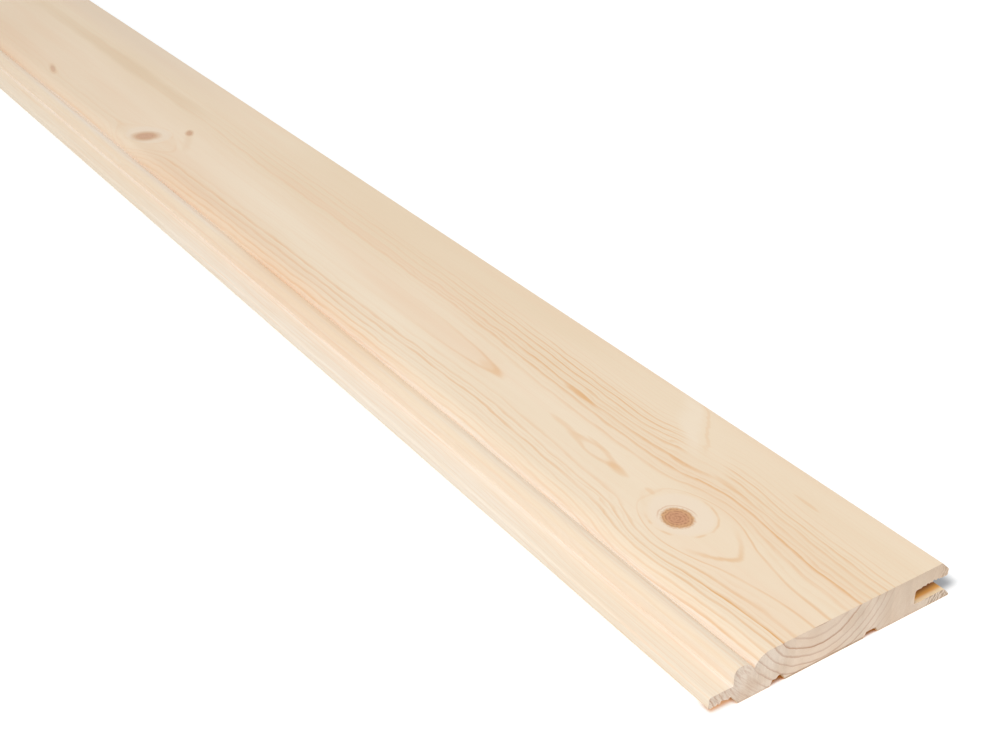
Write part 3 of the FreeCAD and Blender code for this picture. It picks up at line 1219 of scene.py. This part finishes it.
# %% [markdown]
# ## Floor
#
# The board lies flat on a pale studio floor. More light would turn the floor white and bleach the board
# with it. Instead the floor glows a little, but only for rays that come from the camera, off gloss or
# through glass. So it doesn't light the wood, and it keeps the board's shadow. Its own finish also holds
# painted light and shade round the near end: painted warm shade under the near end, a painted grey
# shadow beside the groove, and painted light in front of the end and beside and under the tongue, which
# hides the board's shadow there.


# %% Rays that see the background
def sees_background(web):
    """1 for the rays that should find a white background, and 0 for those that light the board."""
    seen = web.node("ShaderNodeLightPath", None, None, "Is Camera Ray")
    for ray in ("Is Glossy Ray", "Is Transmission Ray"):
        seen = seen.math("MAXIMUM", web.node("ShaderNodeLightPath", None, None, ray))
    return seen


# %% Painted light and shade on the floor
RIGHT = board_size.x / MILLIMETRE
AT_FRONT = (9.0, 3.0)
TUCK_REACH = 0.008


def floor_notch_shade(place):
    """Painted warm shade on the floor under the near end, and how near the tongue that is."""
    finish = place.finish
    open_sky = finish.node("ShaderNodeAmbientOcclusion", {"samples": 8}, {"Distance": TUCK_REACH}, "AO")
    # Painted shade: the floor is tinted warm and dark where little sky reaches it under the near end.
    tucked_shade = finish.step(open_sky, 0.64, 0.18) * place.patch((-0.5, 2.0), AT_FRONT)
    by_tongue = place.patch((12.0, 9.0))
    # Painted shade: a paler warm strip under the tongue.
    slot_shade = place.patch((1.4, 3.4), AT_FRONT) * finish.step(place.y, 0.6, 2.6)
    return tucked_shade * (1.0 - by_tongue) + slot_shade * by_tongue, by_tongue


def floor_painted_light(place):
    """Painted light that hides the shadow: in front of the near end, and beside and under the tongue."""
    under_tongue = place.patch((10.0, 5.0)) * (1.0 - place.patch(along=AT_FRONT))
    outside = place.patch((2.5, 0.0))
    in_front = place.patch(along=(0.8, -1.0))
    return under_tongue.math("MAXIMUM", outside).math("MAXIMUM", in_front)


print("floor: painted warm shade lies within", AT_FRONT[0], "mm of the near end")

# %% Floor finish
PALE_FLOOR = (0.86, 0.86, 0.86, 1.0)
FLOOR_GLOW = (0.34, 0.34, 0.34, 1.0)
BRIGHT_GLOW = (0.66, 0.65, 0.63, 1.0)
SHADE_GLOW = (0.035, 0.037, 0.042, 1.0)
NOTCH_GLOW = (0.07, 0.025, 0.003, 1.0)
TONGUE_GLOW = (0.24, 0.14, 0.085, 1.0)
BLACK = (0.0, 0.0, 0.0, 1.0)
SHADE_GREY = paint("#AEB0B3")
NOTCH_SHADE_TINT = paint("#B5702F")
TONGUE_SHADE_TINT = paint("#DDAA80")


def floor_white():
    """A pale floor that the camera sees as white, with painted light and shade round the near end."""
    finish = Finish("floor_white")
    place = Place(finish)
    notch_shade, by_tongue = floor_notch_shade(place)
    # Painted shadow: grey beside the groove side of the near end.
    beside = place.patch((RIGHT - 3.0, RIGHT), (0.3, 4.5, 30.0, 80.0))
    shaded = place.patch((RIGHT + 10.0, RIGHT + 3.5)) * beside
    notch_shade = notch_shade * (1.0 - beside)
    seen = sees_background(finish)
    colour = finish.mix(notch_shade, PALE_FLOOR, finish.mix(by_tongue, NOTCH_SHADE_TINT, TONGUE_SHADE_TINT))
    colour = finish.mix(shaded, colour, SHADE_GREY)
    glow = finish.mix(notch_shade, FLOOR_GLOW, finish.mix(by_tongue, NOTCH_GLOW, TONGUE_GLOW))
    glow = finish.mix(shaded, glow, SHADE_GLOW)
    # Painted light: more glow where the board's shadow is hidden.
    glow = finish.mix(floor_painted_light(place), glow, BRIGHT_GLOW)
    finish.feed(finish.shader["Base Color"], finish.mix(seen, PALE_FLOOR, colour))
    finish.feed(finish.shader["Emission Color"], finish.mix(seen, BLACK, glow))
    finish.feed(finish.shader["Emission Strength"], 1.0)
    finish.feed(finish.shader["Roughness"], 0.9)
    finish.feed(finish.shader["Specular IOR Level"], 0.0)
    print("floor finish:", len(finish.tree.nodes), "nodes")
    return finish.material


# %% Floor
FLOOR_HALF = 6.0

floor_mesh = bpy.data.meshes.new("floor")
sheet = bmesh.new()
bmesh.ops.create_grid(sheet, x_segments=1, y_segments=1, size=FLOOR_HALF)
sheet.to_mesh(floor_mesh)
sheet.free()
floor_mesh.materials.append(floor_white())
floor = bpy.data.objects.new("floor", floor_mesh)
bpy.context.collection.objects.link(floor)
print("floor:", FLOOR_HALF * 2.0, "m wide")

# %% [markdown]
# ## Sky and lamp
#
# A studio has soft light from all round and one large lamp. The sky is a plain, faintly blue white that
# lights the board, and the same rays as on the floor find pure white in its place. The lamp is a square
# sheet of light to the left and above, so large that its shadows have no hard edge. A sun lamp would cut
# them sharp. The level is set so that a colour renders about as it is written.

# %% Sky
SKY_COLOUR = (0.95, 0.98, 1.0, 1.0)
SKY_LEVEL = 0.74
WHITE = (1.0, 1.0, 1.0, 1.0)

world = bpy.data.worlds.new("studio")
bpy.context.scene.world = world
world.use_nodes = True
sky = Web(world.node_tree)
sky.tree.nodes.clear()
soft_sky = sky.node("ShaderNodeBackground", None, {"Color": SKY_COLOUR, "Strength": SKY_LEVEL})
white_sky = sky.node("ShaderNodeBackground", None, {"Color": WHITE, "Strength": 1.0})
chosen_sky = sky.node("ShaderNodeMixShader", None, {0: sees_background(sky), 1: soft_sky, 2: white_sky})
sky.node("ShaderNodeOutputWorld", None, {"Surface": chosen_sky})
print("sky:", len(sky.tree.nodes), "nodes, level", SKY_LEVEL)

# %% Lamp
LAMP_SIDE = 0.9
LAMP_POWER = 7.4
LAMP_COLOUR = (1.0, 0.97, 0.93)
LAMP_PLACE = Vector((-0.75, -0.9, 0.95))
LAMP_AIM = Vector((0.0, -0.35, 0.0))

lamp_data = bpy.data.lights.new("softbox", "AREA")
lamp_data.shape = "RECTANGLE"
lamp_data.size = LAMP_SIDE
lamp_data.size_y = LAMP_SIDE
lamp_data.energy = LAMP_POWER
lamp_data.color = LAMP_COLOUR
lamp = bpy.data.objects.new("softbox", lamp_data)
bpy.context.collection.objects.link(lamp)
lamp.location = LAMP_PLACE
lamp.rotation_euler = (LAMP_AIM - LAMP_PLACE).to_track_quat("-Z", "Y").to_euler()
print("lamp:", LAMP_POWER, "W,", round((LAMP_AIM - LAMP_PLACE).length, 2), "m from its aim")

# %% [markdown]
# ## Camera
#
# The photograph looks down along the board from its tongue side. A camera could be nudged until it fits,
# but two sets of edges that are parallel on the board give the lens, the pitch and the heading by their
# vanishing points, and the width of the sawn end gives the distance.

# %% Camera
PICTURE_WIDE = 1000.0
FOCAL_PIXELS = 1501.8
SENSOR = 36.0
PITCH = 30.392
HEADING = 34.068
EYE = (-0.26372, -0.66970, 0.28564)
NEAREST = 0.01

camera_data = bpy.data.cameras.new("camera")
camera_data.sensor_width = SENSOR
camera_data.lens = FOCAL_PIXELS / PICTURE_WIDE * SENSOR
camera_data.clip_start = NEAREST
camera = bpy.data.objects.new("camera", camera_data)
bpy.context.collection.objects.link(camera)
camera.location = EYE
camera.rotation_euler = (math.radians(90.0 - PITCH), 0.0, math.radians(-HEADING))
bpy.context.scene.camera = camera
bpy.context.scene.view_settings.view_transform = "Standard"
print("camera: lens", round(camera_data.lens, 1), "mm")
